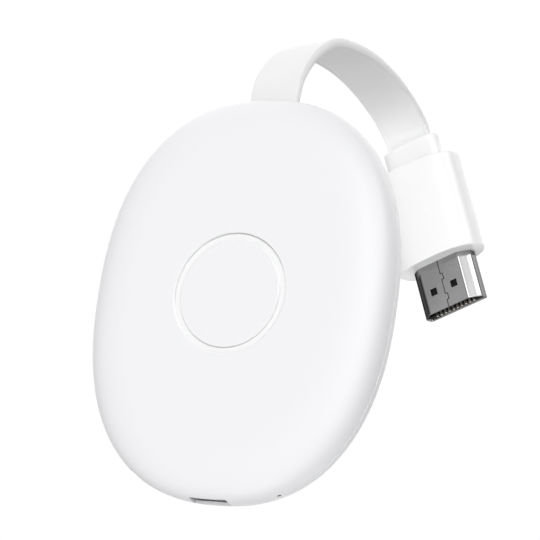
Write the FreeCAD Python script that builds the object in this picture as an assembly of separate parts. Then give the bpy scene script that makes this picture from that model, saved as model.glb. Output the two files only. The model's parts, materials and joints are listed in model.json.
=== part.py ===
import FreeCAD, Part
import math
import os

V = FreeCAD.Vector

# ---------------------------------------------------------------------------
# Wireless display dongle: oval two-part housing, flat ribbon cord, video plug.
# Millimetres. Housing frame: +Z along the housing's long axis towards the cord
# exit, +X to the right seen from the front, front face towards -Y, y = 0 at the
# parting plane. Everything is moved at the end so that the origin is the centre
# of the plug's mouth.
# ---------------------------------------------------------------------------

# housing
HALF_W = 31.0            # half width of the housing
HALF_L = 39.25           # half length of the housing
OVAL_P = 2.35            # superellipse exponent of the outline
FRONT_H = 6.3            # height of the front dome above the parting plane
FRONT_ROLL = 11.0        # how far in from the edge the front roll-off reaches
FRONT_M = 2.6            # exponent of the front roll-off
REAR_H = 6.05            # depth of the rear cover behind the parting plane
REAR_R = 5.5             # rear corner rounding
WALL = 1.5
PART_GAP = 0.15          # visible gap at the parting line
LIP_OUT = 1.72           # rear cover's lip, measured in from the outline
LIP_IN = 2.5
LIP_UP = 1.0

# ring recess on the front face
RING_R_OUT = 11.65
RING_R_IN = 10.25
RING_DEPTH = 0.40
RING_Z = -0.3

# main board
PCB_INSET = 3.1
PCB_Y0 = 0.2             # front face of the board
PCB_T = 1.0
PCB_TOP = 29.0           # straight upper edge, below the cord anchor

# micro usb socket
USB_Y = -1.2
USB_W = 7.5
USB_H = 2.5
USB_Z0 = -38.6
USB_L = 6.1
USB_WALL = 0.25
PORT_W = 7.8
PORT_Y0 = -3.0
PORT_R = 0.4

# reset button
BTN_X = -16.7
BTN_Y = -1.75
BTN_LEN = 3.15
BTN_HIGH = 1.7
BTN_TRAVEL = 0.25
BTN_CLEAR = 0.2
BTN_SINK = 0.45          # how far its face lies below the surface around it

# light guide
LED_X = 13.6
LED_Y = -0.65
LED_R = 0.38

# plug pose, in the housing frame
MOUTH = V(18.73, 55.43, 13.23)
PLUG_W = V(0.91386, -0.15805, 0.37400)     # along the plug's width
PLUG_T = V(0.13816, 0.98721, 0.07959)      # across the plug's thickness

# plug
SHELL_W = 13.9
SHELL_H = 4.45
BEVEL_W = 2.4
BEVEL_H = 2.1
SHELL_WALL = 0.35
SHELL_OUT = 10.3          # shell length outside the overmould
SHELL_L = 20.5
MOLD_A = 9.7              # half width of the overmould
MOLD_B = 5.6              # half thickness of the overmould
MOLD_P = 2.4
MOLD_END = 31.7
COLLAR_A = 6.5
COLLAR_B = 2.3
COLLAR_P = 3.0
COLLAR_END = 37.6
CORD_SEAT = 35.4          # where the cord's end sits inside the collar
CONTACT_PITCH = 1.0
CORE_Z0 = 0.45            # face of the insulator, in from the mouth
PIN_Z0 = 0.08             # tips of the ten contacts
PIN_HALF = 0.24           # half their width
PIN_Z1 = 0.9              # tips of the nine contacts of the other row

# flat cord
CORD_W = 10.3
CORD_T = 1.9
CORD_Y = 0.45
ROUTE = [
    V(0.0, CORD_Y, 35.1),
    V(0.0, CORD_Y, 42.6),
    V(0.35, 3.5, 48.4),
    V(0.6, 9.2, 52.5),
    V(0.6, 16.25, 56.9),
    V(1.0, 25.0, 57.3),
    V(1.4, 35.25, 57.3),
    V(1.9, 44.3, 55.55),
    V(2.3, 51.85, 52.4),
]

OUT = "parts"
os.makedirs(OUT, exist_ok=True)
made = {}


# ---------------------------------------------------------------------------
# helpers
# ---------------------------------------------------------------------------
def oval_points(a, b, p, n=40):
    pts = []
    for i in range(n):
        f = 2 * math.pi * i / n
        c, s = math.cos(f), math.sin(f)
        r = (abs(c / a) ** p + abs(s / b) ** p) ** (-1.0 / p)
        pts.append((r * c, r * s))
    return pts


def closed_spline(pts):
    curve = Part.BSplineCurve()
    curve.interpolate(Points=pts, PeriodicFlag=True)
    return Part.Wire([curve.toShape()])


def oval_wire(a, b, p, y):
    return closed_spline([V(x, y, z) for x, z in oval_points(a, b, p)])


def oval_prism(inset, y0, y1):
    w = oval_wire(HALF_W - inset, HALF_L - inset, OVAL_P, y0)
    return Part.Face(w).extrude(V(0, y1 - y0, 0))


STEPS = [0.0, 0.08, 0.18, 0.30, 0.44, 0.58, 0.72, 0.86, 1.0]


def dome(inset, y0, height, roll, m, sign):
    wires = []
    for t in STEPS:
        a = t * math.pi / 2
        h = height * max(0.0, math.sin(a)) ** (2.0 / m)
        i = inset + roll * (1 - max(0.0, math.cos(a)) ** (2.0 / m))
        wires.append(oval_wire(HALF_W - i, HALF_L - i, OVAL_P, y0 + sign * h))
    return Part.makeLoft(wires, True, False)


def box(x0, x1, y0, y1, z0, z1):
    return Part.makeBox(x1 - x0, y1 - y0, z1 - z0, V(x0, y0, z0))


def cyl_y(x, z, r, y0, y1):
    return Part.makeCylinder(r, y1 - y0, V(x, y0, z), V(0, 1, 0))


def poly_face(pts):
    return Part.Face(Part.makePolygon(pts + [pts[0]]))


def rounded_prism(cx, cy, w, h, r, z0, z1):
    """Rounded rectangle in x-y, standing along z."""
    b = box(cx - w / 2, cx + w / 2, cy - h / 2, cy + h / 2, z0, z1)
    edges = [e for e in b.Edges if abs(e.Vertexes[0].Z - e.Vertexes[1].Z) > 1e-6]
    return b.makeFillet(r, edges)


def frame_matrix(origin, ex, ey, ez):
    return FreeCAD.Placement(FreeCAD.Matrix(
        ex.x, ey.x, ez.x, origin.x,
        ex.y, ey.y, ez.y, origin.y,
        ex.z, ey.z, ez.z, origin.z,
        0, 0, 0, 1))


def placed(shape, pl):
    s = shape.copy()
    s.Placement = pl.multiply(s.Placement)
    return s


def export(name, shape):
    s = shape.copy()
    s.translate(V(-MOUTH.x, -MOUTH.y, -MOUTH.z))
    if len(s.Solids) == 1:
        s = s.Solids[0]
    made[name] = s
    s.exportStep(os.path.join(OUT, name + ".step"))
    bb = s.BoundBox
    print("%-22s solids %d  vol %9.3f  valid %s  [%.2f %.2f %.2f]-[%.2f %.2f %.2f]" % (
        name, len(s.Solids), s.Volume, s.isValid(), bb.XMin, bb.YMin, bb.ZMin, bb.XMax, bb.YMax, bb.ZMax))


def union(shapes):
    out = shapes[0]
    for s in shapes[1:]:
        out = out.fuse(s)
    return out


def rim(x):
    """Outline point below the housing at x, and its outward direction in x-z."""
    z = -HALF_L * (1 - abs(x / HALF_W) ** OVAL_P) ** (1 / OVAL_P)
    gx = abs(x / HALF_W) ** (OVAL_P - 1) / HALF_W * (1 if x > 0 else -1)
    gz = -abs(z / HALF_L) ** (OVAL_P - 1) / HALF_L
    n = V(gx, 0, gz)
    n.normalize()
    return V(x, 0, z), n


# ---------------------------------------------------------------------------
# local frames
# ---------------------------------------------------------------------------
PW = V(PLUG_W)
PW.normalize()
PA = PW.cross(PLUG_T)
PA.normalize()
PT = PA.cross(PW)
PT.normalize()
PLUG = frame_matrix(MOUTH, PW, PT, PA)      # local x width, y thickness, z towards the cord

btn_rim, btn_out = rim(BTN_X)
BTN_O = V(btn_rim.x, BTN_Y, btn_rim.z)
btn_y = V(0, 1, 0)
btn_t = btn_y.cross(btn_out)
BTN = frame_matrix(BTN_O, btn_t, btn_y, btn_out)   # local z points out of the housing

led_rim, led_out = rim(LED_X)
LED_O = V(led_rim.x, LED_Y, led_rim.z)
LEDF = frame_matrix(LED_O, btn_y.cross(led_out), btn_y, led_out)

# ---------------------------------------------------------------------------
# front cover
# ---------------------------------------------------------------------------
front = dome(0.0, 0.0, FRONT_H, FRONT_ROLL, FRONT_M, -1)
front = front.cut(dome(WALL, 0.0, FRONT_H - WALL, FRONT_ROLL, FRONT_M, -1))
RING_SLOPE = 0.5         # run of the groove walls per unit of depth
over = 0.2
ring = Part.makeCone(RING_R_OUT + RING_SLOPE * over, RING_R_OUT - RING_SLOPE * RING_DEPTH, RING_DEPTH + over,
                     V(0, -FRONT_H - over, RING_Z), V(0, 1, 0)).cut(
    Part.makeCone(RING_R_IN - RING_SLOPE * over, RING_R_IN + RING_SLOPE * RING_DEPTH, RING_DEPTH + over,
                  V(0, -FRONT_H - over, RING_Z), V(0, 1, 0)))
front = front.cut(ring)
port = rounded_prism(0, (PORT_Y0 + 2.0) / 2, PORT_W, 2.0 - PORT_Y0, PORT_R, -42, -34)
front = front.cut(port)
slot = placed(rounded_prism(0, 0, BTN_LEN + 2 * BTN_CLEAR, BTN_HIGH + 2 * BTN_CLEAR, BTN_HIGH / 2 + 0.1, -3.6, 2.0), BTN)
front = front.cut(slot)
pinhole = placed(Part.makeCylinder(LED_R + 0.05, 5.0, V(0, 0, -3.0)), LEDF)
front = front.cut(pinhole)
# upper half of the cord outlet
front = front.cut(box(-CORD_W / 2 - 0.3, CORD_W / 2 + 0.3, CORD_Y - CORD_T / 2 - 0.25, 1.0, 34.0, 44.0))
# heat stakes that hold the heat spreader
STAKES = [(13.0, 18.5), (-13.0, 18.5), (13.0, -18.5), (-13.0, -18.5)]
SPREAD_Y0, SPREAD_Y1 = -4.2, -3.2
for sx, sz in STAKES:
    front = front.fuse(cyl_y(sx, sz, 1.0, -FRONT_H + WALL - 0.2, SPREAD_Y1 + 0.3))
export("front_cover", front)

# ---------------------------------------------------------------------------
# rear cover
# ---------------------------------------------------------------------------
rear_inner_y = REAR_H - WALL
rear = dome(0.0, PART_GAP, REAR_H - PART_GAP, REAR_R, 2.0, 1)
rear = rear.cut(dome(WALL, PART_GAP, REAR_H - WALL - PART_GAP, REAR_R - WALL, 2.0, 1))
lip = oval_prism(LIP_OUT, -LIP_UP, PART_GAP).cut(oval_prism(LIP_IN, -LIP_UP, PART_GAP))
base = oval_prism(1.0, PART_GAP, 1.3).cut(oval_prism(LIP_IN, PART_GAP, 1.3))
rear = rear.fuse(base).fuse(lip)
# bosses for the board and for the cord clamp
BOSSES = [(18.5, 21.5), (-18.5, 21.5), (19.0, -20.5), (-19.0, -20.5)]
CLAMP_BOSSES = [(9.2, 33.4), (-9.2, 33.4)]
ANCHOR_Y0 = -1.5          # front face of the cord anchor
CLAMP_T = 0.6
HEAD_Y0 = ANCHOR_Y0 - CLAMP_T - 0.65
SCREW_R = 0.95
for bx, bz in BOSSES:
    rear = rear.fuse(cyl_y(bx, bz, 2.2, PCB_Y0 + PCB_T, rear_inner_y + 0.4))
for bx, bz in CLAMP_BOSSES:
    rear = rear.fuse(cyl_y(bx, bz, 1.7, ANCHOR_Y0, rear_inner_y + 0.6))
for bx, bz in BOSSES:
    rear = rear.cut(cyl_y(bx, bz, SCREW_R + 0.02, 0.0, 4.3))
for bx, bz in CLAMP_BOSSES:
    rear = rear.cut(cyl_y(bx, bz, 0.77, -3.0, 3.4))
# cord outlet, open at the parting plane, and notches in the lip
rear = rear.cut(box(-CORD_W / 2 - 0.3, CORD_W / 2 + 0.3, -2.0, CORD_Y + CORD_T / 2 + 0.25, 34.0, 37.6))
outlet = poly_face([V(-CORD_W / 2 - 0.3, -2.0, 37.0), V(-CORD_W / 2 - 0.3, -2.0, 44.0), V(-CORD_W / 2 - 0.3, 5.0, 44.0),
                    V(-CORD_W / 2 - 0.3, CORD_Y + CORD_T / 2 + 0.25 + 0.55, 38.8), V(-CORD_W / 2 - 0.3, CORD_Y + CORD_T / 2 + 0.25, 37.0)])
rear = rear.cut(outlet.extrude(V(CORD_W + 0.6, 0, 0)))
rear = rear.cut(box(-7.2, 7.2, -2.0, 3.05, 30.0, 36.1))
rear = rear.cut(box(-11.2, 11.2, -3.0, ANCHOR_Y0, 30.0, 37.5))
rear = rear.cut(box(-7.2, 7.2, -2.0, PART_GAP, 30.0, 39.0))
rear = rear.cut(box(-PORT_W / 2, PORT_W / 2, -2.0, PART_GAP + 0.05, -42, -33))
rear = rear.cut(placed(box(-3.2, 3.2, -3.0, PART_GAP - BTN_Y, -7.4, 0.0), BTN))
rear = rear.cut(placed(box(-1.4, 1.4, -3.0, PART_GAP - LED_Y, -6.0, 0.0), LEDF))
export("rear_cover", rear)

# ---------------------------------------------------------------------------
# main board and what is soldered to it
# ---------------------------------------------------------------------------
pcb = oval_prism(PCB_INSET, PCB_Y0, PCB_Y0 + PCB_T)
pcb = pcb.cut(box(-40, 40, -5, 5, PCB_TOP, 60))
for bx, bz in BOSSES:
    pcb = pcb.cut(cyl_y(bx, bz, 1.2, -1, 3))
export("main_board", pcb)

PF = PCB_Y0                     # front face of the board
PB = PCB_Y0 + PCB_T             # back face of the board

export("system_chip", box(-6.5, 6.5, PF - 1.2, PF, -2.0, 11.0))
export("memory_chips", Part.makeCompound([
    box(-16.0, -8.5, PF - 0.9, PF, 1.0, 12.0), box(8.5, 16.0, PF - 0.9, PF, 1.0, 12.0)]))
export("flash_chip", box(-5.75, 5.75, PB, PB + 1.0, -6.0, 7.0))
export("power_chip", box(6.0, 11.0, PF - 0.85, PF, -21.0, -16.0))
wm = box(-13.5, -2.5, PF - 1.5, PF, -21.0, -10.0)
export("wireless_module", wm.makeFillet(0.4, [e for e in wm.Edges if abs(e.Vertexes[0].Y - e.Vertexes[1].Y) > 1e-6]))
export("crystal_oscillator", box(1.0, 4.2, PF - 0.7, PF, -13.5, -11.0))
inductors = []
for cx, cz in [(9.0, -12.0), (14.5, -12.0), (14.5, -17.5)]:
    b = box(cx - 2.0, cx + 2.0, PB, PB + 2.0, cz - 2.0, cz + 2.0)
    inductors.append(b.makeFillet(0.35, b.Edges))
export("power_inductors", Part.makeCompound(inductors))
caps = []
for cx, cz in [(-10, 16), (-7, 16), (-4, 16), (8, -24), (10, -24), (12, -24), (-1, -23), (1, -23), (3, -23), (-20, 4), (-20, 1), (-20, -2)]:
    cy0, cy1 = (PF - 0.55, PF)
    caps.append(box(cx - 0.8, cx + 0.8, cy0, cy1, cz - 0.4, cz + 0.4))
for cx, cz in [(-10, -10), (-10, -12), (-10, -14), (9, 4), (11, 4), (9, 6), (11, 6), (-9, 12), (-7, 12)]:
    caps.append(box(cx - 0.8, cx + 0.8, PB, PB + 0.8, cz - 0.4, cz + 0.4))
export("ceramic_capacitors", Part.makeCompound(caps))

# radio shield: soldered fence with a clip-on lid
FX, FZ0, FZ1, FH = 17.0, -5.0, 19.0, 1.7
fence = box(-FX, FX, PF - FH, PF, FZ0, FZ1).cut(box(-FX + 0.25, FX - 0.25, PF - FH, PF, FZ0 + 0.25, FZ1 - 0.25))
export("shield_frame", fence)
LID_Y1 = PF - FH - 0.02
lid = box(-FX - 0.3, FX + 0.3, LID_Y1 - 0.2, -0.45, FZ0 - 0.3, FZ1 + 0.3)
lid = lid.cut(box(-FX - 0.08, FX + 0.08, LID_Y1, 0.0, FZ0 - 0.08, FZ1 + 0.08))
export("shield_lid", lid)
export("chip_thermal_pad", box(-6.0, 6.0, LID_Y1, PF - 1.2, -1.5, 10.5))
export("spreader_thermal_pad", box(-8.0, 8.0, SPREAD_Y1, LID_Y1 - 0.2, -3.0, 12.0))

# heat spreader under the front cover
plate_w = oval_wire(19.5, 26.0, OVAL_P, SPREAD_Y0)
plate = Part.Face(plate_w).extrude(V(0, SPREAD_Y1 - SPREAD_Y0, 0))
for sx, sz in STAKES:
    plate = plate.cut(cyl_y(sx, sz, 1.08, -6, 0))
export("heat_spreader", plate)

# antennas: bent metal strips on both long edges of the board
for name, sg in (("left_antenna", -1), ("right_antenna", 1)):
    foot = box(min(sg * 22.5, sg * 25.4), max(sg * 22.5, sg * 25.4), PF - 0.3, PF, -9.0, -6.0)
    foot2 = box(min(sg * 22.5, sg * 25.4), max(sg * 22.5, sg * 25.4), PF - 0.3, PF, -2.0, 0.0)
    wall = box(min(sg * 25.1, sg * 25.4), max(sg * 25.1, sg * 25.4), PF - 3.0, PF, -9.0, 11.0)
    wall = wall.cut(box(min(sg * 24, sg * 27), max(sg * 24, sg * 27), PF - 1.2, PF + 1, 0.0, 12.0))
    wall = wall.cut(box(min(sg * 24, sg * 27), max(sg * 24, sg * 27), PF - 1.2, PF + 1, -6.0, -2.0))
    roof = box(min(sg * 23.0, sg * 25.4), max(sg * 23.0, sg * 25.4), PF - 3.0, PF - 2.7, -9.0, 11.0)
    export(name, union([foot, foot2, wall, roof]).removeSplitter())

# board screws
screws = []
for bx, bz in BOSSES:
    head = cyl_y(bx, bz, 1.7, PF - 1.0, PF)
    head = head.cut(box(bx - 0.2, bx + 0.2, PF - 1.1, PF - 0.5, bz - 1.0, bz + 1.0))
    head = head.cut(box(bx - 1.0, bx + 1.0, PF - 1.1, PF - 0.5, bz - 0.2, bz + 0.2))
    screws.append(head.fuse(cyl_y(bx, bz, SCREW_R, PF - 0.1, 4.1)).removeSplitter())
export("board_screws", Part.makeCompound(screws))

# micro usb socket
def usb_face(off, z):
    w2, h2 = USB_W / 2 - off, USB_H / 2 - off
    c = 1.0
    pts = [V(-w2, USB_Y - h2, z), V(w2, USB_Y - h2, z), V(w2, USB_Y + h2 - c, z), V(w2 - c + off * 0.4, USB_Y + h2, z),
           V(-w2 + c - off * 0.4, USB_Y + h2, z), V(-w2, USB_Y + h2 - c, z)]
    return poly_face(pts)


usb = usb_face(0, USB_Z0).extrude(V(0, 0, USB_L))
usb = usb.cut(usb_face(USB_WALL, USB_Z0 - 1).extrude(V(0, 0, USB_L + 2)))
for sx in (-1, 1):     # solder tabs that go down to the board
    usb = usb.fuse(box(sx * 3.6 - 0.15, sx * 3.6 + 0.15, USB_Y - 0.2, PF, -35.6, -34.2))
export("micro_usb_shell", usb)
tongue = box(-1.85, 1.85, USB_Y - 0.55, USB_Y + 0.15, USB_Z0 + 0.7, USB_Z0 + USB_L - 1.2)
back = usb_face(USB_WALL + 0.01, USB_Z0 + USB_L - 1.3).extrude(V(0, 0, 1.3))
usb_in = tongue.fuse(back).removeSplitter()
contacts = []
for i in range(5):
    cx = (i - 2) * 0.65
    contacts.append(box(cx - 0.15, cx + 0.15, USB_Y + 0.05, USB_Y + 0.25, USB_Z0 + 1.0, USB_Z0 + USB_L - 0.2))
usb_contacts = Part.makeCompound(contacts)
export("micro_usb_tongue", usb_in.cut(usb_contacts))
export("micro_usb_contacts", usb_contacts)

# reset switch, its plunger and the button cap
sw = placed(box(-2.6, 2.6, -1.0, PF - BTN_Y, -7.2, -4.0), BTN)
hole = placed(box(-1.0, 1.0, -0.6, 0.6, -5.5, -3.9), BTN)
export("reset_switch_body", sw.cut(hole))
export("switch_plunger", placed(box(-0.85, 0.85, -0.45, 0.45, -5.1, -3.4), BTN))
# the cap follows the roll of the cover; a flange inside keeps it from falling out
cap = placed(rounded_prism(0, 0, BTN_LEN, BTN_HIGH, BTN_HIGH / 2 - 0.03, -3.1, 1.0), BTN)
cap = cap.common(dome(BTN_SINK, 0.0, FRONT_H - BTN_SINK, FRONT_ROLL, FRONT_M, -1))
flange = placed(rounded_prism(0, 0, BTN_LEN + 1.4, BTN_HIGH + 0.3, 0.5, -3.4, -2.85), BTN)
export("reset_button", cap.fuse(flange).removeSplitter())

# status light and its guide
export("status_led", placed(box(-0.8, 0.8, -0.05, PF - LED_Y, -5.9, -4.8), LEDF))
guide = Part.makeCylinder(LED_R - 0.03, 3.0, V(0, 0, -3.1))
foot = box(-0.9, 0.9, -0.6, 0.6, -4.7, -2.9)
export("led_light_guide", placed(guide.fuse(foot).removeSplitter(), LEDF))

# ---------------------------------------------------------------------------
# cord anchor inside the housing
# ---------------------------------------------------------------------------
anchor = box(-6.5, 6.5, ANCHOR_Y0, 3.0, 30.8, 36.0)
anchor = anchor.makeFillet(0.5, [e for e in anchor.Edges if abs(e.Vertexes[0].Z - e.Vertexes[1].Z) > 1e-6])
pocket = box(-CORD_W / 2, CORD_W / 2, CORD_Y - CORD_T / 2, CORD_Y + CORD_T / 2, 35.1, 37.0)
tail = union([box(-4.2, 4.2, 1.85, 2.25, 27.2, 34.0), box(-4.2, 4.2, 0.75, 2.25, 33.6, 34.0),
              box(-4.2, 4.2, 0.75, 1.15, 33.6, 35.1)]).removeSplitter()
anchor = anchor.cut(pocket).cut(tail)
export("cable_anchor", anchor)
conn = box(-5.6, 5.6, PB, PB + 1.9, 23.0, 27.6)
export("cable_connector", conn.cut(tail))
export("cable_tail", tail)
clamp = box(-10.9, 10.9, ANCHOR_Y0 - CLAMP_T, ANCHOR_Y0, 31.9, 34.9)
clamp = clamp.makeFillet(0.8, [e for e in clamp.Edges if abs(e.Vertexes[0].Y - e.Vertexes[1].Y) > 1e-6])
for bx, bz in CLAMP_BOSSES:
    clamp = clamp.cut(cyl_y(bx, bz, 0.85, -4, 1))
export("anchor_clamp", clamp)
cscrews = []
for bx, bz in CLAMP_BOSSES:
    head = cyl_y(bx, bz, 1.3, HEAD_Y0, ANCHOR_Y0 - CLAMP_T)
    head = head.cut(box(bx - 0.85, bx + 0.85, HEAD_Y0 - 0.1, HEAD_Y0 + 0.35, bz - 0.18, bz + 0.18))
    head = head.cut(box(bx - 0.18, bx + 0.18, HEAD_Y0 - 0.1, HEAD_Y0 + 0.35, bz - 0.85, bz + 0.85))
    cscrews.append(head.fuse(cyl_y(bx, bz, 0.75, HEAD_Y0 + 0.5, 3.2)).removeSplitter())
export("clamp_screws", Part.makeCompound(cscrews))

# ---------------------------------------------------------------------------
# plug, built in its own frame: x width, y thickness, z from the mouth to the cord
# ---------------------------------------------------------------------------
def shell_face(off, z):
    w, h = SHELL_W / 2 - off, SHELL_H / 2 - off
    k = off * 0.45
    pts = [V(-w, h, z), V(w, h, z), V(w, -SHELL_H / 2 + BEVEL_H + k * 0.2, z), V(w - BEVEL_W + k, -h, z),
           V(-w + BEVEL_W - k, -h, z), V(-w, -SHELL_H / 2 + BEVEL_H + k * 0.2, z)]
    return poly_face(pts)


def shell_solid(off, z0, z1, r):
    s = shell_face(off, z0).extrude(V(0, 0, z1 - z0))
    edges = [e for e in s.Edges if abs(e.Vertexes[0].Z - e.Vertexes[1].Z) > 1e-6]
    return s.makeFillet(r, edges)


shell_block = shell_solid(0, 0, SHELL_L, 0.55)
bore = shell_solid(SHELL_WALL, -1, SHELL_L + 1, 0.25)
shell = shell_block.cut(bore)
for hx in (-2.45, 2.45):
    shell = shell.cut(box(hx - 0.75, hx + 0.75, -4, -1.5, 4.25 - 0.75, 4.25 + 0.75))
    shell = shell.cut(box(hx - 0.75, hx + 0.75, 1.5, 4, 4.25 - 0.75, 4.25 + 0.75))
# rolled-sheet seam with two key tabs, a groove in the narrow face
SEAM = [(0, -0.5), (0, 1.5), (0.52, 1.62), (0.48, 2.83), (0, 2.95), (0, 6.05), (0.55, 6.1), (0.48, 7.3), (0, 7.4), (0, SHELL_OUT)]
for (x0, z0), (x1, z1) in zip(SEAM[:-1], SEAM[1:]):
    dx, dz = x1 - x0, z1 - z0
    n = math.hypot(dx, dz)
    ux, uz = dx / n * 0.05, dz / n * 0.05
    px, pz = -dz / n * 0.05, dx / n * 0.05
    pts = [V(x0 - ux + px, -SHELL_H / 2 - 0.3, z0 - uz + pz), V(x1 + ux + px, -SHELL_H / 2 - 0.3, z1 + uz + pz),
           V(x1 + ux - px, -SHELL_H / 2 - 0.3, z1 + uz - pz), V(x0 - ux - px, -SHELL_H / 2 - 0.3, z0 - uz - pz)]
    shell = shell.cut(poly_face(pts).extrude(V(0, 0.3 + 0.2, 0)))
export("hdmi_shell", placed(shell, PLUG))

core = shell_solid(SHELL_WALL + 0.02, CORE_Z0, 17.5, 0.22)
core = core.cut(box(-6.0, 6.0, -0.75, 0.75, -1.0, 12.0))
pins = []
for i in range(10):
    cx = (i - 4.5) * CONTACT_PITCH
    pins.append(box(cx - PIN_HALF, cx + PIN_HALF, 0.55, 0.80, PIN_Z0, 19.3))
for i in range(9):
    cx = (i - 4.0) * CONTACT_PITCH
    pins.append(box(cx - 0.17, cx + 0.17, -0.78, -0.55, PIN_Z1, 19.3))
pins = Part.makeCompound(pins)
core = core.cut(pins)
export("hdmi_insulator", placed(core, PLUG))
export("hdmi_contacts", placed(pins, PLUG))
export("plug_board", placed(box(-5.4, 5.4, -0.52, 0.52, 17.7, 29.3), PLUG))

can = box(-7.3, 7.3, -2.9, 2.9, SHELL_L, 30.0)
can = can.makeFillet(0.8, [e for e in can.Edges if abs(e.Vertexes[0].Z - e.Vertexes[1].Z) > 1e-6])
can_in = box(-7.0, 7.0, -2.6, 2.6, SHELL_L - 1, 29.7)
can_in = can_in.makeFillet(0.5, [e for e in can_in.Edges if abs(e.Vertexes[0].Z - e.Vertexes[1].Z) > 1e-6])
wires = box(-4.0, 4.0, 0.52, 0.9, 27.0, CORD_SEAT)
inner_can = can.cut(can_in).cut(wires)
export("plug_inner_shield", placed(inner_can, PLUG))
export("plug_conductors", placed(wires, PLUG))


def plug_oval(a, b, p, z0, z1):
    w = closed_spline([V(x, y, z0) for x, y in oval_points(a, b, p)])
    return Part.Face(w).extrude(V(0, 0, z1 - z0))


mold = plug_oval(MOLD_A, MOLD_B, MOLD_P, SHELL_OUT, MOLD_END)
ends = [e for e in mold.Edges if e.BoundBox.ZLength < 1e-3]
mold = mold.makeFillet(0.28, ends)
mold = mold.cut(shell_block).cut(can)
neck = plug_oval(5.7, 1.8, COLLAR_P, 30.0, MOLD_END + 0.2)
mold = mold.cut(neck)
collar = plug_oval(COLLAR_A, COLLAR_B, COLLAR_P, MOLD_END, COLLAR_END)
cend = [e for e in collar.Edges if e.BoundBox.ZLength < 1e-3 and e.BoundBox.ZMin > COLLAR_END - 0.1]
collar = collar.makeFillet(0.35, cend)
seat = box(-CORD_W / 2, CORD_W / 2, -CORD_T / 2, CORD_T / 2, CORD_SEAT, COLLAR_END + 1)
collar = collar.fuse(neck.common(box(-20, 20, -20, 20, 30.0, MOLD_END))).removeSplitter()
collar = collar.cut(seat).cut(wires)
export("plug_overmold", placed(mold, PLUG))
export("plug_strain_relief", placed(collar, PLUG))

# ---------------------------------------------------------------------------
# flat cord: straight runs joined by tangent arcs, rectangular section that turns
# from the housing's width direction to the plug's
# ---------------------------------------------------------------------------
end = MOUTH + PA * CORD_SEAT
route = ROUTE + [MOUTH + PA * (CORD_SEAT + 4.1), end]
edges = []
cur = route[0]
radii = []
for i in range(1, len(route) - 1):
    a, b, c = route[i - 1], route[i], route[i + 1]
    d1 = (b - a)
    d2 = (c - b)
    l1, l2 = d1.Length, d2.Length
    d1.normalize()
    d2.normalize()
    turn = d1.getAngle(d2)
    cut = 0.45 * min(l1, l2)
    radius = cut / math.tan(turn / 2)
    radii.append(radius)
    p1 = b - d1 * cut
    p3 = b + d2 * cut
    bis = (d2 - d1)
    bis.normalize()
    centre = b + bis * (radius / math.cos(turn / 2))
    p2 = centre - bis * radius
    if (p1 - cur).Length > 1e-6:
        edges.append(Part.LineSegment(cur, p1).toShape())
    edges.append(Part.Arc(p1, p2, p3).toShape())
    cur = p3
edges.append(Part.LineSegment(cur, route[-1]).toShape())
path = Part.Wire(edges)
length = path.Length
print("cord radii mm:", ["%.1f" % r for r in radii], "turns on the path:", len(radii))
print("cord runs mm:", ["%.1f" % (q - p).Length for p, q in zip(route[:-1], route[1:])])
print("cord length mm: %.2f" % length)

stations = []
done = 0.0
for e in path.OrderedEdges:
    n = 1 if e.Curve.TypeId == "Part::GeomLine" else max(3, int(math.degrees(e.Length / e.Curve.Radius) / 8) + 1)
    fwd = e.Orientation == "Forward"
    for k in range(n):
        t = k / n
        par = e.FirstParameter + (e.LastParameter - e.FirstParameter) * (t if fwd else 1 - t)
        tan = e.tangentAt(par)
        if not fwd:
            tan = tan * -1
        stations.append((e.valueAt(par), tan, (done + e.Length * t) / length))
    done += e.Length
stations.append((end, PA * -1, 1.0))

sections = []
for pos, tan, u in stations:
    f = min(1.0, max(0.0, (u - 0.10) / 0.84))
    f = f * f * (3 - 2 * f)
    wdir = V(1, 0, 0) * (1 - f) + PW * f
    wdir = wdir - tan * wdir.dot(tan)
    wdir.normalize()
    ndir = tan.cross(wdir)
    hw, ht = wdir * (CORD_W / 2), ndir * (CORD_T / 2)
    sections.append(Part.makePolygon([pos + hw + ht, pos - hw + ht, pos - hw - ht, pos + hw - ht, pos + hw + ht]))
cord = Part.makeLoft(sections, True, True)
print("cord volume %.2f, section x length %.2f" % (cord.Volume, CORD_W * CORD_T * length))
export("ribbon_cable", cord)

print("nodes", len(made))
for n in ("housing",):
    bb = FreeCAD.BoundBox()
    for k in made:
        bb.add(made[k].BoundBox)
    print("whole", bb)
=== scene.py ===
import json
import math

import bmesh
import bpy
from mathutils import Matrix, Vector


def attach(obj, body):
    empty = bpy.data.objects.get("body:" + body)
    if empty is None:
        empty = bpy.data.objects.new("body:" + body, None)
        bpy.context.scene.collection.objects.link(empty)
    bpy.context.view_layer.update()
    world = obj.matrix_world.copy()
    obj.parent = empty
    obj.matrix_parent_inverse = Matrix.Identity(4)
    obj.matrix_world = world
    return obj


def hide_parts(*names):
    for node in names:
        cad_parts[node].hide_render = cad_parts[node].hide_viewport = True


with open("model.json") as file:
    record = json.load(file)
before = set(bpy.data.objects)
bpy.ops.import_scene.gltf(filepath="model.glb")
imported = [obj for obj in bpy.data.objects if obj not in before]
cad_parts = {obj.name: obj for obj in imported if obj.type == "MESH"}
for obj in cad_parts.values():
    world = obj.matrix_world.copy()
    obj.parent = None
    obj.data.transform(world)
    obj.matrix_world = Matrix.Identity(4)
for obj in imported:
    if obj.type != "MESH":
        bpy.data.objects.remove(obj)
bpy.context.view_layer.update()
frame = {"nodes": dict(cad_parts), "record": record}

NODES = frame["nodes"]
MM = 0.001

# centre of the housing at the parting plane, in the row frame
HOUSING = Vector((-0.01873, -0.05543, -0.01323))


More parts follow.
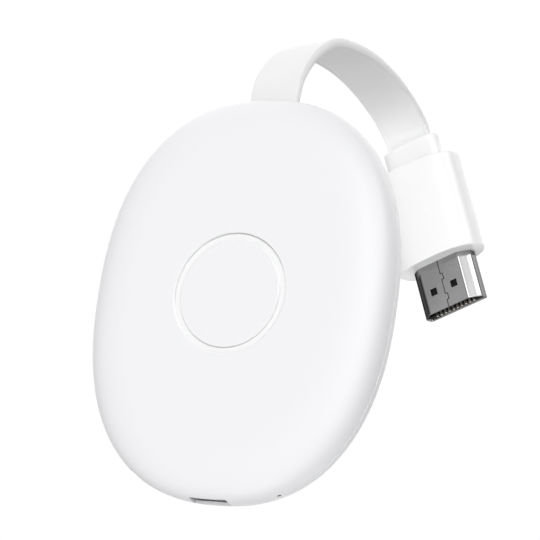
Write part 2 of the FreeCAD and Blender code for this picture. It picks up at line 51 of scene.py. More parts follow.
# ---------------------------------------------------------------------------
# node helpers
# ---------------------------------------------------------------------------
class Mat:
    def __init__(self, name):
        self.mat = bpy.data.materials.new(name)
        self.mat.use_nodes = True
        self.nt = self.mat.node_tree
        self.nt.nodes.clear()
        self.out = self.nt.nodes.new("ShaderNodeOutputMaterial")
        self.p = self.nt.nodes.new("ShaderNodeBsdfPrincipled")
        self.nt.links.new(self.p.outputs["BSDF"], self.out.inputs["Surface"])
        self.coord = self.nt.nodes.new("ShaderNodeTexCoord")

    def set(self, **values):
        for k, v in values.items():
            self.p.inputs[k.replace("_", " ")].default_value = v
        return self

    def link(self, a, b):
        self.nt.links.new(a, b)

    def mapping(self, scale=(1, 1, 1), rotation=(0, 0, 0)):
        m = self.nt.nodes.new("ShaderNodeMapping")
        m.inputs["Scale"].default_value = scale
        m.inputs["Rotation"].default_value = rotation
        self.link(self.coord.outputs["Object"], m.inputs["Vector"])
        return m.outputs["Vector"]

    def noise(self, scale, detail=3.0, rough=0.5, vector=None, distortion=0.0):
        n = self.nt.nodes.new("ShaderNodeTexNoise")
        n.inputs["Scale"].default_value = scale
        n.inputs["Detail"].default_value = detail
        n.inputs["Roughness"].default_value = rough
        n.inputs["Distortion"].default_value = distortion
        self.link(vector if vector is not None else self.coord.outputs["Object"], n.inputs["Vector"])
        return n.outputs["Fac"]

    def voronoi(self, scale, vector=None, feature="F1"):
        n = self.nt.nodes.new("ShaderNodeTexVoronoi")
        n.feature = feature
        n.inputs["Scale"].default_value = scale
        self.link(vector if vector is not None else self.coord.outputs["Object"], n.inputs["Vector"])
        return n.outputs["Distance"]

    def ramp(self, fac, stops):
        r = self.nt.nodes.new("ShaderNodeValToRGB")
        el = r.color_ramp.elements
        while len(el) < len(stops):
            el.new(0.5)
        for e, (pos, col) in zip(el, stops):
            e.position = pos
            e.color = (*col, 1.0)
        self.link(fac, r.inputs["Fac"])
        return r.outputs["Color"]

    def map_range(self, fac, a, b, lo=0.0, hi=1.0):
        m = self.nt.nodes.new("ShaderNodeMapRange")
        m.inputs["From Min"].default_value = lo
        m.inputs["From Max"].default_value = hi
        m.inputs["To Min"].default_value = a
        m.inputs["To Max"].default_value = b
        self.link(fac, m.inputs["Value"])
        return m.outputs["Result"]

    def mix(self, fac, a, b):
        m = self.nt.nodes.new("ShaderNodeMix")
        m.data_type = "FLOAT"
        self.link(fac, m.inputs["Factor"])
        self.link(a, m.inputs["A"])
        self.link(b, m.inputs["B"])
        return m.outputs["Result"]

    def bump(self, height, strength, distance, normal=None):
        b = self.nt.nodes.new("ShaderNodeBump")
        b.inputs["Strength"].default_value = strength
        b.inputs["Distance"].default_value = distance
        self.link(height, b.inputs["Height"])
        if normal is not None:
            self.link(normal, b.inputs["Normal"])
        return b.outputs["Normal"]


def grey(v, warm=0.0):
    return (v * (1 + warm), v, v * (1 - warm))


def moulded(name, a, b, rough, fine, broad=90.0, depth=0.000012, strength=0.25, **extra):
    """Moulded plastic: two close tones in broad clouds, a fine eroded grain in the
    surface and a roughness that follows it."""
    m = Mat(name)
    clouds = m.noise(broad, 4.0, 0.55)
    m.link(m.ramp(clouds, [(0.30, a), (0.70, b)]), m.p.inputs["Base Color"])
    grain = m.noise(fine, 4.0, 0.6)
    m.link(m.map_range(grain, rough[0], rough[1], 0.25, 0.75), m.p.inputs["Roughness"])
    m.link(m.bump(grain, strength, depth), m.p.inputs["Normal"])
    m.set(**extra)
    return m.mat


def metal(name, a, b, rough, along=(1, 1, 1), fine=2600.0, depth=0.000004, strength=0.25, **extra):
    """Metal with drawn or tumbled grain: noise stretched along one direction."""
    m = Mat(name)
    v = m.mapping(along)
    streak = m.noise(fine, 3.0, 0.6, v)
    clouds = m.noise(220.0, 3.0, 0.5)
    m.link(m.ramp(clouds, [(0.30, a), (0.72, b)]), m.p.inputs["Base Color"])
    m.link(m.map_range(streak, rough[0], rough[1], 0.25, 0.75), m.p.inputs["Roughness"])
    m.link(m.bump(streak, strength, depth), m.p.inputs["Normal"])
    m.set(Metallic=1.0, **extra)
    return m.mat


# ---------------------------------------------------------------------------
# materials
# ---------------------------------------------------------------------------
for old in list(bpy.data.materials):
    old.name = "frame_" + old.name

MATERIALS = {
    "housing_white": moulded("housing_white", (0.868, 0.868, 0.884), (0.874, 0.874, 0.889), (0.36, 0.42), 5200.0, broad=40.0,
                             Specular_IOR_Level=0.45),
    "plug_white": moulded("plug_white", (0.936, 0.936, 0.936), (0.942, 0.942, 0.941), (0.26, 0.33), 3800.0,
                          depth=0.000006, strength=0.15, Specular_IOR_Level=0.5),
    "cord_white": moulded("cord_white", (0.872, 0.872, 0.871), (0.880, 0.880, 0.880), (0.44, 0.52), 3000.0,
                          depth=0.000008, strength=0.2, Specular_IOR_Level=0.35),
    "nickel_plated": metal("nickel_plated", (0.325, 0.325, 0.325), (0.360, 0.360, 0.361), (0.10, 0.16), (1, 1, 0.08),
                           Specular_Tint=(0.05, 0.05, 0.05, 1.0)),
    "socket_steel": metal("socket_steel", (0.55, 0.55, 0.56), (0.66, 0.66, 0.67), (0.24, 0.34), (1, 1, 0.1)),
    "shield_steel": metal("shield_steel", (0.52, 0.53, 0.54), (0.62, 0.63, 0.64), (0.30, 0.42), (1, 1, 0.15)),
    "black_plastic": moulded("black_plastic", (0.006, 0.006, 0.007), (0.012, 0.012, 0.013), (0.55, 0.68), 5200.0,
                             Specular_IOR_Level=0.12),
    "contact_gold": metal("contact_gold", (0.92, 0.89, 0.80), (0.96, 0.93, 0.85), (0.30, 0.42), (1, 1, 0.1)),
    "board_green": moulded("board_green", (0.010, 0.085, 0.045), (0.014, 0.12, 0.062), (0.28, 0.40), 2600.0, broad=420.0,
                           depth=0.00003),
    "chip_black": moulded("chip_black", (0.016, 0.016, 0.018), (0.032, 0.032, 0.034), (0.55, 0.70), 6000.0),
    "thermal_pad": moulded("thermal_pad", (0.30, 0.33, 0.38), (0.38, 0.41, 0.46), (0.72, 0.85), 2200.0, depth=0.00004),
    "spreader_aluminium": metal("spreader_aluminium", (0.72, 0.73, 0.74), (0.80, 0.81, 0.82), (0.34, 0.48), (1, 1, 0.05)),
    "screw_steel": metal("screw_steel", (0.22, 0.22, 0.23), (0.32, 0.32, 0.33), (0.28, 0.40), (1, 0.1, 1)),
    "ceramic": moulded("ceramic", (0.42, 0.33, 0.22), (0.52, 0.42, 0.30), (0.45, 0.60), 3000.0, broad=900.0),
    "ferrite": moulded("ferrite", (0.045, 0.045, 0.050), (0.075, 0.075, 0.080), (0.55, 0.70), 2600.0, depth=0.00003),
    "light_guide_smoked": moulded("light_guide_smoked", (0.030, 0.030, 0.036), (0.045, 0.045, 0.052), (0.16, 0.26), 3000.0,
                                  Transmission_Weight=0.35, IOR=1.49),
    "led_yellow": moulded("led_yellow", (0.80, 0.66, 0.22), (0.88, 0.76, 0.34), (0.30, 0.42), 3000.0),
    "anchor_grey": moulded("anchor_grey", (0.34, 0.345, 0.35), (0.42, 0.425, 0.43), (0.45, 0.58), 3600.0),
    "copper": metal("copper", (0.74, 0.36, 0.20), (0.84, 0.44, 0.26), (0.26, 0.38), (1, 1, 0.1)),
}
RING_WHITE = moulded("ring_white", (0.918, 0.918, 0.922), (0.924, 0.924, 0.926), (0.28, 0.34), 5200.0, broad=40.0,
                     depth=0.000006, strength=0.15, Specular_IOR_Level=0.5)
SLOT_OF = {n["node"]: n["material_slot"] for n in frame["record"]["subparts"]}
for name, obj in NODES.items():
    for s in obj.material_slots:
        s.material = MATERIALS[SLOT_OF[name]]

# ---------------------------------------------------------------------------
# flat cord
# ---------------------------------------------------------------------------
CORD_W = 0.0103
CORD_T = 0.0019
CORD_DIP = 0.00030
ROUTE = [(-0.01873, -0.05498, 0.02187), (-0.01873, -0.05498, 0.02937), (-0.01937, -0.05135, 0.03429),
         (-0.01956, -0.04777, 0.03784), (-0.01947, -0.04407, 0.04068), (-0.01937, -0.04010, 0.04287),
         (-0.01849, -0.03478, 0.04384), (-0.01745, -0.02850, 0.04410), (-0.01678, -0.02172, 0.04358),
         (-0.01658, -0.01508, 0.04268), (-0.01636, -0.00920, 0.04130), (-0.01581, -0.00442, 0.03918),
         (-0.015081, -0.000832, 0.036498), (-0.013515, -0.000746, 0.032710)]
PLUG_W = Vector((0.91386, -0.15805, 0.37400)).normalized()


def spline_points(points, name):
    """Points along the NURBS spline that has these control points."""
    curve = bpy.data.curves.new(name, "CURVE")
    curve.dimensions = "3D"
    s = curve.splines.new("NURBS")
    s.points.add(len(points) - 1)
    for p, co in zip(s.points, points):
        p.co = (*co, 1.0)
    s.order_u = 3
    s.use_endpoint_u = True
    curve.resolution_u = 24
    obj = bpy.data.objects.new(name, curve)
    bpy.context.scene.collection.objects.link(obj)
    bpy.context.view_layer.update()
    dg = bpy.context.evaluated_depsgraph_get()
    mesh = bpy.data.meshes.new_from_object(obj.evaluated_get(dg))
    out = [v.co.copy() for v in mesh.vertices]
    bpy.data.objects.remove(obj)
    bpy.data.meshes.remove(mesh)
    kept = [out[0]]
    for p in out[1:]:
        if (p - kept[-1]).length > 1e-6:
            kept.append(p)
    return kept


def new_object(name, bm, smooth=True):
    mesh = bpy.data.meshes.new(name)
    bm.normal_update()
    bm.to_mesh(mesh)
    bm.free()
    for p in mesh.polygons:
        p.use_smooth = smooth
    obj = bpy.data.objects.new(name, mesh)
    bpy.context.scene.collection.objects.link(obj)
    return obj


def ribbon_section(w, t, dip):
    """Section of the ribbon as (across, through) pairs, w and t its half sizes: bulged
    edges, a flat outer face and an inner face that lies a little below its two beads."""
    r = 0.00140
    half = [(w - 0.0016, -t), (w - 0.00052, -t), (w - 0.00042, -t + 0.000012), (w - 0.00035, -t + 0.000045)]
    for i in range(13):
        a = math.radians(-38 + 76 * i / 12)
        half.append((w - r + r * math.cos(a), r * math.sin(a)))
    half += [(w - 0.00035, t - 0.000035), (w - 0.00040, t - 0.000008), (w - 0.00047, t), (w - 0.00054, t - 0.067 * dip),
             (w - 0.00061, t - 0.233 * dip), (w - 0.00072, t - 0.767 * dip), (w - 0.00080, t - 0.933 * dip),
             (w - 0.00090, t - dip), (w - 0.0016, t - dip)]
    return half + [(-x, y) for x, y in reversed(half)]


cord_path = spline_points(ROUTE, "cord_route")
lengths = [0.0]
for a, b in zip(cord_path[:-1], cord_path[1:]):
    lengths.append(lengths[-1] + (b - a).length)
CORD_LEN = lengths[-1]
print("cord spline length mm %.2f, points %d" % (CORD_LEN * 1000, len(cord_path)))

bm = bmesh.new()
rings = []
for i, p in enumerate(cord_path):
    a = cord_path[max(0, i - 1)]
    b = cord_path[min(len(cord_path) - 1, i + 1)]
    tan = (b - a).normalized()
    u = lengths[i] / CORD_LEN
    f = min(1.0, u / 0.864)
    f = f * f * (3 - 2 * f)
    w = Vector((1, 0, 0)) * (1 - f) + PLUG_W * f
    w = (w - tan * w.dot(tan)).normalized()
    n = tan.cross(w)
    # the beads are high over the bend and fade out towards the plug
    fade = min(1.0, max(0.0, (u - 0.46) / 0.20))
    fade = fade * fade * (3 - 2 * fade)
    dip = CORD_DIP * (1 - fade) + 0.00007 * fade
    rings.append([bm.verts.new(p + w * x + n * y) for x, y in ribbon_section(CORD_W / 2, CORD_T / 2, dip)])
for r0, r1 in zip(rings[:-1], rings[1:]):
    k = len(r0)
    for j in range(k):
        bm.faces.new((r0[j], r0[(j + 1) % k], r1[(j + 1) % k], r1[j]))
bm.faces.new(list(reversed(rings[0])))
bm.faces.new(rings[-1])
bmesh.ops.recalc_face_normals(bm, faces=bm.faces)
ribbon = new_object("flat_cord", bm)
ribbon.data.materials.append(MATERIALS["cord_white"])
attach(ribbon, "dongle")
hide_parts("ribbon_cable")


# ---------------------------------------------------------------------------
# mesh helpers in the housing frame, millimetres
# ---------------------------------------------------------------------------
HALF_W, HALF_L, OVAL_P = 31.0, 39.25, 2.35
FRONT_H, FRONT_ROLL, FRONT_M = 6.3, 11.0, 2.6
REAR_H, REAR_R, PART_GAP, WALL = 6.05, 5.5, 0.15, 1.5
RING_R_OUT, RING_R_IN, RING_DEPTH, RING_Z = 11.65, 10.25, 0.40, -0.3
CORD_Y = 0.45


def to_frame(p):
    return Vector(p) * MM + HOUSING


def oval_ring(inset, y, n=256):
    a, b = HALF_W - inset, HALF_L - inset
    out = []
    for i in range(n):
        f = 2 * math.pi * i / n
        c, s = math.cos(f), math.sin(f)
        r = (abs(c / a) ** OVAL_P + abs(s / b) ** OVAL_P) ** (-1.0 / OVAL_P)
        out.append((r * c, y, r * s))
    return out


def circle_ring(r, y, n=256):
    return [(r * math.cos(2 * math.pi * i / n), y, RING_Z + r * math.sin(2 * math.pi * i / n)) for i in range(n)]


def groove_ring(r0, r1, d0, d1, towards, n=256):
    """Ring near an edge of the groove: radius and depth go from (r0, d0) on the side that
    faces away from the angle 'towards' to (r1, d1) on the side that faces it."""
    out = []
    for i in range(n):
        a = 2 * math.pi * i / n
        f = max(0.0, math.cos(a - math.radians(towards))) ** 0.6
        r = r0 + (r1 - r0) * f
        out.append((r * math.cos(a), -FRONT_H + d0 + (d1 - d0) * f, RING_Z + r * math.sin(a)))
    return out


def blend_rings(a, b, t):
    return [tuple(p * (1 - t) + q * t for p, q in zip(u, v)) for u, v in zip(a, b)]


def loft(rows, first=None, last=None, move=to_frame, closed=False):
    """Quads between rings of equal size, with a fan at either end."""
    bm = bmesh.new()
    vr = [[bm.verts.new(move(p)) for p in r] for r in rows]
    pairs = list(zip(vr[:-1], vr[1:]))
    if closed:
        pairs.append((vr[-1], vr[0]))
    for a, b in pairs:
        n = len(a)
        for j in range(n):
            bm.faces.new((a[j], a[(j + 1) % n], b[(j + 1) % n], b[j]))
    for tip, r in ((first, vr[0]), (last, vr[-1])):
        if tip is not None:
            c = bm.verts.new(move(tip))
            for j in range(len(r)):
                bm.faces.new((c, r[j], r[(j + 1) % len(r)]))
    bmesh.ops.recalc_face_normals(bm, faces=bm.faces)
    return bm


def rounded_rect(cx, cy, w, h, r, n=8):
    pts = []
    for sx, sy, a0 in ((1, 1, 0), (-1, 1, 90), (-1, -1, 180), (1, -1, 270)):
        for i in range(n + 1):
            a = math.radians(a0 + 90 * i / n)
            pts.append((cx + sx * (w / 2 - r) + r * math.cos(a), cy + sy * (h / 2 - r) + r * math.sin(a)))
    return pts


def prism(name, outline, z0, z1, place):
    """Straight prism over an outline in the local x-y plane, from z0 to z1."""
    bm = bmesh.new()
    lo = [bm.verts.new(place(x, y, z0)) for x, y in outline]
    hi = [bm.verts.new(place(x, y, z1)) for x, y in outline]
    n = len(lo)
    for j in range(n):
        bm.faces.new((lo[j], lo[(j + 1) % n], hi[(j + 1) % n], hi[j]))
    bm.faces.new(list(reversed(lo)))
    bm.faces.new(hi)
    bmesh.ops.recalc_face_normals(bm, faces=bm.faces)
    return new_object(name, bm, smooth=False)


def carve(obj, cutters):
    """Cuts the cutters out of obj and leaves a plain mesh."""
    for i, c in enumerate(cutters):
        m = obj.modifiers.new("cut%d" % i, "BOOLEAN")
        m.operation = "DIFFERENCE"
        m.solver = "EXACT"
        m.object = c
    bpy.context.view_layer.update()
    dg = bpy.context.evaluated_depsgraph_get()
    mesh = bpy.data.meshes.new_from_object(obj.evaluated_get(dg))
    old = obj.data
    obj.modifiers.clear()
    obj.data = mesh
    mesh.name = old.name
    bpy.data.meshes.remove(old)
    for c in cutters:
        d = c.data
        bpy.data.objects.remove(c)
        bpy.data.meshes.remove(d)


def crisp(obj, angle=38.0):
    for p in obj.data.polygons:
        p.use_smooth = True
    obj.data.set_sharp_from_angle(angle=math.radians(angle))


def plain_box(name, x0, x1, y0, y1, z0, z1, place=None):
    place = place or (lambda x, y, z: to_frame((x, y, z)))
    return prism(name, [(x0, y0), (x1, y0), (x1, y1), (x0, y1)], z0, z1, place)


def rim_frame(x, y):
    """Placement on the lower rim at x: local x along the rim, y to the rear, z out of the housing."""
    z = -HALF_L * (1 - abs(x / HALF_W) ** OVAL_P) ** (1 / OVAL_P)
    out = Vector((abs(x / HALF_W) ** (OVAL_P - 1) / HALF_W * (1 if x > 0 else -1), 0,
                  -abs(z / HALF_L) ** (OVAL_P - 1) / HALF_L)).normalized()
    ey = Vector((0, 1, 0))
    ex = ey.cross(out)
    o = Vector((x, y, z))
    return lambda a, b, c: to_frame(o + ex * a + ey * b + out * c)


BTN = rim_frame(-16.7, -1.75)
LED = rim_frame(13.6, -0.65)
HOUSE = lambda x, y, z: to_frame((x, y, z))

# ---------------------------------------------------------------------------
# front cover
# ---------------------------------------------------------------------------
Y = -FRONT_H
rows = [circle_ring(r, Y) for r in (2.5, 5.5, 8.0, 9.4, 10.0, 10.12)]
first = len(rows)
rows += [groove_ring(10.19, 10.21, 0.01, 0.005, 290), groove_ring(10.25, 10.25, 0.05, 0.05, 290),
         groove_ring(10.30, 10.26, 0.13, 0.30, 290), groove_ring(10.42, 10.27, 0.35, 0.80, 290),
         groove_ring(10.47, 10.41, 0.39, 0.80, 290), groove_ring(10.50, 10.425, 0.40, 0.46, 290),
         groove_ring(10.54, 10.45, 0.40, 0.41, 290), groove_ring(10.60, 10.54, 0.40, 0.40, 290)]
rows += [circle_ring(r, Y + 0.40) for r in (10.70, 10.95, 11.18)]
rows += [groove_ring(11.30, 11.46, 0.40, 0.40, 110), groove_ring(11.36, 11.56, 0.40, 0.41, 110),
         groove_ring(11.40, 11.59, 0.40, 0.46, 110), groove_ring(11.43, 11.605, 0.39, 0.95, 110),
         groove_ring(11.48, 11.83, 0.35, 0.95, 110), groove_ring(11.60, 11.845, 0.13, 0.30, 110),
         groove_ring(11.65, 11.855, 0.05, 0.05, 110), groove_ring(11.71, 11.89, 0.01, 0.005, 110)]
ring_rows = (first, len(rows) - 1)
rows += [circle_ring(r, Y) for r in (11.95, 12.1, 12.7)]
inner_edge = circle_ring(13.6, Y)
flat_edge = oval_ring(FRONT_ROLL, Y)
rows += [blend_rings(inner_edge, flat_edge, t) for t in (0.0, 0.2, 0.4, 0.6, 0.8, 0.93)]
K = 40
for k in range(K):
    a = math.pi / 2 * (1 - k / K) ** 1.15
    rows.append(oval_ring(FRONT_ROLL * (1 - math.cos(a) ** (2 / FRONT_M)), -FRONT_H * math.sin(a) ** (2 / FRONT_M)))
    if -rows[-1][0][1] < 0.22:
        break
rows += [oval_ring(0.0, -0.16), oval_ring(0.012, -0.09), oval_ring(0.04, -0.04), oval_ring(0.09, -0.012), oval_ring(0.16, 0.0)]
rows += [oval_ring(0.5, 0.0), oval_ring(WALL - 0.06, 0.0), oval_ring(WALL, -0.06)]
for k in range(1, 15):
    a = math.pi / 2 * k / 14
    rows.append(oval_ring(WALL + FRONT_ROLL * (1 - math.cos(a) ** (2 / FRONT_M)), -(FRONT_H - WALL) * math.sin(a) ** (2 / FRONT_M)))
rows.append(circle_ring(8.0, -(FRONT_H - WALL)))
front = new_object("front_shell", loft(rows, first=(0, Y, RING_Z), last=(0, -(FRONT_H - WALL), RING_Z)))
front.data.materials.append(MATERIALS["housing_white"])
front.data.materials.append(RING_WHITE)
for face in front.data.polygons[ring_rows[0] * 256:ring_rows[1] * 256]:
    face.material_index = 1
carve(front, [
    prism("c_port", rounded_rect(0, -0.45, 7.8, 4.9, 0.4), -42, -34, HOUSE),
    prism("c_button", rounded_rect(0, 0, 3.55, 2.1, 0.95), -3.6, 2.0, BTN),
    prism("c_pinhole", rounded_rect(0, 0, 0.86, 0.86, 0.429), -3.0, 2.0, LED),
    plain_box("c_outlet", -5.45, 5.45, CORD_Y - 1.2, 1.0, 34.0, 44.0),
])
crisp(front)
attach(front, "dongle")
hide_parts("front_cover")

# ---------------------------------------------------------------------------
# rear cover
# ---------------------------------------------------------------------------
H = REAR_H - PART_GAP
edge = oval_ring(REAR_R, REAR_H)
centre_ring = circle_ring(6.0, REAR_H)
rows = [blend_rings(centre_ring, edge, t) for t in (0.0, 0.3, 0.6, 0.85, 0.97)]
for k in range(32):
    a = math.pi / 2 * (1 - k / 32)
    rows.append(oval_ring(REAR_R * (1 - math.cos(a)), PART_GAP + H * math.sin(a)))
rows = [r for r in rows if r[0][1] > PART_GAP + 0.2]
rows += [oval_ring(0.0, PART_GAP + 0.16), oval_ring(0.012, PART_GAP + 0.09), oval_ring(0.04, PART_GAP + 0.04),
         oval_ring(0.09, PART_GAP + 0.012), oval_ring(0.16, PART_GAP)]
rows += [oval_ring(0.6, PART_GAP), oval_ring(1.66, PART_GAP), oval_ring(1.72, PART_GAP - 0.06), oval_ring(1.72, -0.92),
         oval_ring(1.80, -1.0), oval_ring(2.42, -1.0), oval_ring(2.5, -0.92), oval_ring(2.5, 1.2)]
for k in range(9):
    a = 0.7227 + (math.pi / 2 - 0.7227) * k / 8
    rows.append(oval_ring(WALL + (REAR_R - WALL) * (1 - math.cos(a)), PART_GAP + (H - WALL) * math.sin(a)))
rows.append(circle_ring(6.0, REAR_H - WALL))
rear = new_object("rear_shell", loft(rows, first=(0, REAR_H, RING_Z), last=(0, REAR_H - WALL, RING_Z)))
outlet = [(-2.0, 33.9), (-2.0, 44.0), (5.0, 44.0), (CORD_Y + 1.75, 38.8), (CORD_Y + 1.2, 37.0), (CORD_Y + 1.2, 33.9)]
carve(rear, [
    prism("c_out", outlet, -5.45, 5.45, lambda u, v, w: to_frame((w, u, v))),
    plain_box("c_anchor", -7.2, 7.2, -2.0, PART_GAP - 0.01, 30.0, 38.9),
    plain_box("c_plip", -3.9, 3.9, -2.0, PART_GAP + 0.05, -42.0, -33.0),
    plain_box("c_blip", -3.2, 3.2, -3.0, 1.89, -7.4, -0.9, BTN),
    plain_box("c_llip", -1.4, 1.4, -3.0, 0.79, -6.0, -0.9, LED),
])
crisp(rear)
rear.data.materials.append(MATERIALS["housing_white"])
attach(rear, "dongle")
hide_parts("rear_cover")

# ---------------------------------------------------------------------------
# connector shell: a rolled sheet with a seam, in the plug's own frame
# ---------------------------------------------------------------------------
PLUG_T = Vector((0.13816, 0.98721, 0.07959))
PLUG_A = PLUG_W.cross(PLUG_T).normalized()
PLUG_T = PLUG_A.cross(PLUG_W).normalized()
SHELL_HW, SHELL_HH, SHEET, SHELL_L = 6.95, 2.225, 0.35, 20.5


def plug_place(w, t, a):
    return (PLUG_W * w + PLUG_T * t + PLUG_A * a) * MM


def shell_outline(off):
    """Outline of the sheet, moved inwards by off: flat near face, a softly crowned bevel
    between two rounded folds on either side, flat far face."""
    near, crown, fold, back = 1.2 - off, 8.03 - off, 0.8 - off, 0.55 - off
    w, t = 4.312, -(SHELL_HH - off)
    half = [(w - 0.15, t), (w, t)]

    def arc(r, a0, a1, n):
        nonlocal w, t
        for i in range(n):
            b0 = math.radians(a0 + (a1 - a0) * i / n)
            b1 = math.radians(a0 + (a1 - a0) * (i + 1) / n)
            w += r * (math.sin(b1) - math.sin(b0))
            t += r * (math.cos(b0) - math.cos(b1))
            half.append((w, t))

    arc(near, 0, 36, 10)
    arc(crown, 36, 54, 12)
    arc(fold, 54, 90, 6)
    t = SHELL_HH - off - back
    half.append((w, t))
    arc(back, 90, 180, 8)
    return [(-x, y) for x, y in reversed(half)] + half


def shell_row(off, a):
    return [(x, y, a) for x, y in shell_outline(off)]


rows = [shell_row(SHEET, a) for a in (SHELL_L, 10.0, 0.12)]
rows += [shell_row(SHEET - 0.04, 0.035), shell_row(SHEET - 0.12, 0.0), shell_row(0.12, 0.0), shell_row(0.04, 0.035)]
rows += [shell_row(0.0, a) for a in (0.12, 0.17, 0.27, 0.6, 5.0, 10.0, SHELL_L)]
shell = new_object("connector_shell", loft(rows, move=lambda p: plug_place(*p), closed=True))


def slab(name, pts, t0, t1):
    return prism(name, pts, t0, t1, lambda u, v, w: plug_place(u, w, v))


cuts = []
for hx in (-2.45, 2.45):
    sq = rounded_rect(hx, 4.25, 1.5, 1.5, 0.08, 3)
    cuts.append(slab("c_hole", sq, -4.0, -1.5))
    cuts.append(slab("c_hole", sq, 1.5, 4.0))
SEAM = [(0, -0.5), (0, 1.5), (0.52, 1.62), (0.48, 2.83), (0, 2.95), (0, 6.05), (0.55, 6.1), (0.48, 7.3), (0, 7.4), (0, 10.6)]
g = 0.085
left, right = [], []
for i, (x, z) in enumerate(SEAM):
    a = Vector(SEAM[max(0, i - 1)])
    b = Vector(SEAM[min(len(SEAM) - 1, i + 1)])
    d1 = (Vector((x, z)) - a).normalized() if i else (b - Vector((x, z))).normalized()
    d2 = (b - Vector((x, z))).normalized() if i < len(SEAM) - 1 else d1
    nrm = (Vector((-d1.y, d1.x)) + Vector((-d2.y, d2.x))).normalized()
    k = g / max(0.5, nrm.dot(Vector((-d1.y, d1.x))))
    left.append((x + nrm.x * k, z + nrm.y * k))
    right.append((x - nrm.x * k, z - nrm.y * k))
cuts.append(slab("c_seam", left + right[::-1], -2.6, -2.0))
carve(shell, cuts)
crisp(shell, 40.0)
shell.data.materials.append(MATERIALS["nickel_plated"])
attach(shell, "dongle")
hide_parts("hdmi_shell")

# painted shade: a black sheet set inside the seam cut of the rolled shell stands in for the shadow in the gap
bm = bmesh.new()
for (ax, az), (bx, bz), (cx, cz), (dx, dz) in zip(left[:-1], left[1:], right[1:], right[:-1]):
    bm.faces.new([bm.verts.new(plug_place(x, -2.06, z)) for x, z in ((ax, max(az, 0.06)), (bx, bz), (cx, cz), (dx, max(dz, 0.06)))])
bmesh.ops.remove_doubles(bm, verts=bm.verts, dist=1e-6)
bmesh.ops.recalc_face_normals(bm, faces=bm.faces)
seam = new_object("seam_painted_shade", bm)
seam.data.materials.append(MATERIALS["black_plastic"])
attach(seam, "dongle")

# ---------------------------------------------------------------------------
# floor, light, camera
# ---------------------------------------------------------------------------
scene = bpy.context.scene
scene.view_settings.view_transform = "Standard"
scene.view_settings.look = "None"
scene.view_settings.exposure = 0.0
scene.view_settings.gamma = 1.0

FLOOR_Z = -0.19
bm = bmesh.new()
bmesh.ops.create_circle(bm, cap_ends=True, cap_tris=False, segments=96, radius=9.0)
floor = new_object("floor", bm, smooth=False)
floor.location = (0, 0, FLOOR_Z)
fm = Mat("floor_pale")
fm.link(fm.ramp(fm.noise(6.0, 3.0), [(0.3, (0.975, 0.977, 0.980)), (0.7, (0.990, 0.992, 0.995))]), fm.p.inputs["Base Color"])
fm.link(fm.map_range(fm.noise(900.0, 2.0), 0.6, 0.75), fm.p.inputs["Roughness"])
floor.data.materials.append(fm.mat)
floor.visible_diffuse = False
floor.visible_glossy = False
floor.visible_transmission = False
floor.visible_shadow = False

world = bpy.data.worlds.new("studio")
scene.world = world
world.use_nodes = True
wn = world.node_tree
wn.nodes.clear()


def wnode(kind, **inputs):
    n = wn.nodes.new(kind)
    for k, v in inputs.items():
        if hasattr(v, "links"):
            wn.links.new(v, n.inputs[int(k[1:])])
        else:
            n.inputs[int(k[1:])].default_value = v
    return n


def wmath(op, *values):
    n = wn.nodes.new("ShaderNodeMath")
    n.operation = op
    for i, v in enumerate(values):
        if isinstance(v, (int, float)):
            n.inputs[i].default_value = v
        else:
            wn.links.new(v, n.inputs[i])
    return n.outputs["Value"]


# the room: broad soft panels, each a direction towards it and its strength, over an even base
LOBES = [
    ((0.036, 0.411, 0.911), 0.275),
    ((0.295, -0.384, 0.875), 0.336),
    ((-0.535, 0.095, 0.839), 1.274),
    ((-0.314, 0.604, 0.732), 0.534),
    ((-0.694, -0.286, 0.661), 1.502),
    ((0.331, 0.707, 0.625), 1.553),
    ((-0.721, 0.418, 0.554), 0.825),
    ((-0.504, -0.717, 0.482), 0.138),
    ((-0.115, 0.887, 0.446), 0.791),
    ((0.697, -0.588, 0.411), 2.274),
    ((-0.044, -0.952, 0.304), 0.029),
    ((-0.617, 0.74, 0.268), 1.759),
    ((0.217, 0.963, 0.161), 0.239),
    ((0.493, -0.861, 0.125), 2.562),
    ((-0.386, -0.922, 0.018), 0.588),
    ((-0.338, 0.941, -0.018), 1.054),
    ((0.167, -0.973, -0.161), 0.180),
    ((-0.654, -0.707, -0.268), 0.782),
    ((0.005, 0.953, -0.304), 0.140),
    ((0.632, -0.697, -0.339), 0.702),
    ((-0.741, -0.38, -0.554), 0.456),
    ((0.281, 0.758, -0.589), 2.153),
    ((-0.344, -0.588, -0.732), 0.602),
    ((-0.134, 0.626, -0.768), 0.264),
    ((-0.54, -0.067, -0.839), 0.660),
    ((0.015, -0.413, -0.911), 2.420),
]
LOBE_K = 14.0
ROOM_BASE = 0.000
tc = wn.nodes.new("ShaderNodeTexCoord")
total = ROOM_BASE
for direction, strength in LOBES:
    dot = wn.nodes.new("ShaderNodeVectorMath")
    dot.operation = "DOT_PRODUCT"
    wn.links.new(tc.outputs["Generated"], dot.inputs[0])
    dot.inputs[1].default_value = direction
    fall = wmath("EXPONENT", wmath("MULTIPLY_ADD", dot.outputs["Value"], LOBE_K, -LOBE_K))
    total = wmath("MULTIPLY_ADD", fall, strength, total)
room = wn.nodes.new("ShaderNodeBackground")
wn.links.new(total, room.inputs["Strength"])
room.inputs["Color"].default_value = (1, 1, 1, 1)
paper = wn.nodes.new("ShaderNodeBackground")
paper.inputs["Color"].default_value = (1, 1, 1, 1)
paper.inputs["Strength"].default_value = 1.02
lp = wn.nodes.new("ShaderNodeLightPath")
wm = wn.nodes.new("ShaderNodeMixShader")
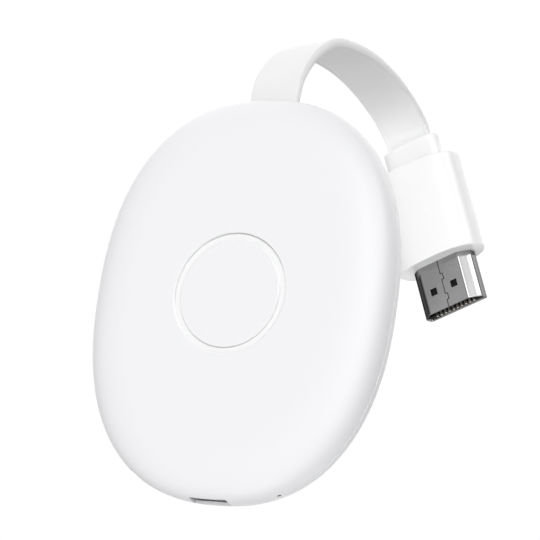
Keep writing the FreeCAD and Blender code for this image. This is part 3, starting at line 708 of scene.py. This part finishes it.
wn.links.new(lp.outputs["Is Camera Ray"], wm.inputs[0])
wn.links.new(room.outputs["Background"], wm.inputs[1])
wn.links.new(paper.outputs["Background"], wm.inputs[2])
wo = wn.nodes.new("ShaderNodeOutputWorld")
wn.links.new(wm.outputs["Shader"], wo.inputs["Surface"])


def area(name, pos, target, size, power, colour=(1, 1, 1), size_y=None):
    d = bpy.data.lights.new(name, "AREA")
    d.shape = "RECTANGLE" if size_y else "SQUARE"
    d.size = size
    if size_y:
        d.size_y = size_y
    d.energy = power
    d.color = colour
    o = bpy.data.objects.new(name, d)
    bpy.context.scene.collection.objects.link(o)
    o.location = pos
    o.rotation_mode = "QUATERNION"
    o.rotation_quaternion = (Vector(target) - Vector(pos)).to_track_quat("-Z", "Y")
    return o


# soft box on the right: it gives the connector its bright stripe
RIGHT_BOX = 1.636
STRIPES = [("stripe_box", (0.190, -0.880, 0.420), 0.26, 0.46, 3.2), ("stripe_box_2", (0.688, -0.335, 0.643), 0.15, 0.50, 2.6)]
for name, pos, wide, high, strength in STRIPES:
    stripe = area(name, pos, (0, 0, 0), wide, strength * wide * high * math.pi, size_y=high)
    stripe.visible_diffuse = False
area("right_box", (0.71, -0.26, 0.65), (0, 0, 0), 0.46, RIGHT_BOX * 0.46 * 0.35 * math.pi, size_y=0.35)

cam = bpy.data.cameras.new("camera")
cam.sensor_width = 36.0
cam.sensor_fit = "HORIZONTAL"
cam.lens = 2518.65 / 540.0 * 36.0
cam.clip_start = 0.01
cam.clip_end = 40.0
cam_obj = bpy.data.objects.new("camera", cam)
scene.collection.objects.link(cam_obj)
R0 = Vector((0.8882461612, 0.4373096415, 0.1406379556))
R1 = Vector((0.0241829644, 0.2612154706, -0.9649775449))
R2 = Vector((-0.4587307939, 0.8605386426, 0.2214481955))
m = Matrix.Identity(4)
for i in range(3):
    m[i][0] = R0[i]
    m[i][1] = -R1[i]
    m[i][2] = -R2[i]
m.translation = Vector((0.203454, -0.463735, -0.112308))
cam_obj.matrix_world = m
scene.camera = cam_obj
